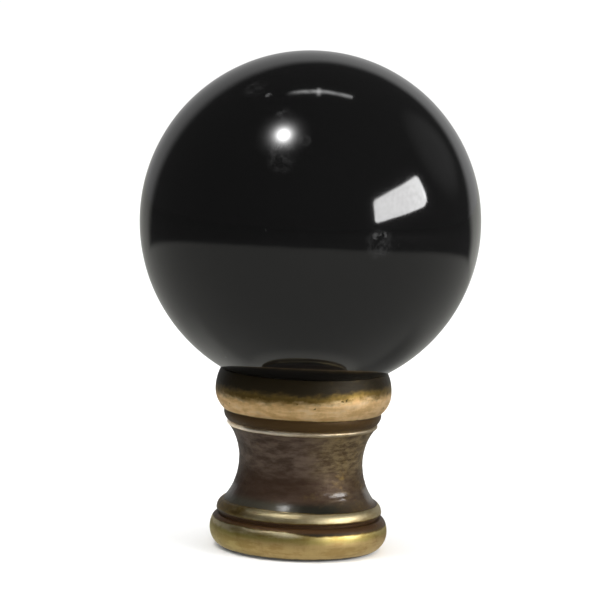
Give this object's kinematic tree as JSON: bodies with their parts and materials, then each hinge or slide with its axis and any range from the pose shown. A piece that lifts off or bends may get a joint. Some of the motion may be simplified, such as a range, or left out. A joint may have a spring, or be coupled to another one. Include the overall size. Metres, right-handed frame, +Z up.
{
  "type": "lamp shade finial",
  "caption": "Lamp shade finial: a black glass ball seated on a waisted, turned antique-brass base with a tapped hole below.",
  "frame": {"origin": "centre of the base's flat underside", "axes": "+Z up along the turning axis, from the underside to the ball; the part is round, so X and Y are free"},
  "size_m": [0.03, 0.03, 0.044],
  "materials": {
    "black_glass": "opaque black glass, high polish with faint handling marks",
    "antique_brass": "antiqued brass: dark brown patina in the hollows, rubbed gold on the raised beads"
  },
  "bodies": {
    "root": {"ball": "black_glass", "base": "antique_brass"}
  },
  "joints": []
}
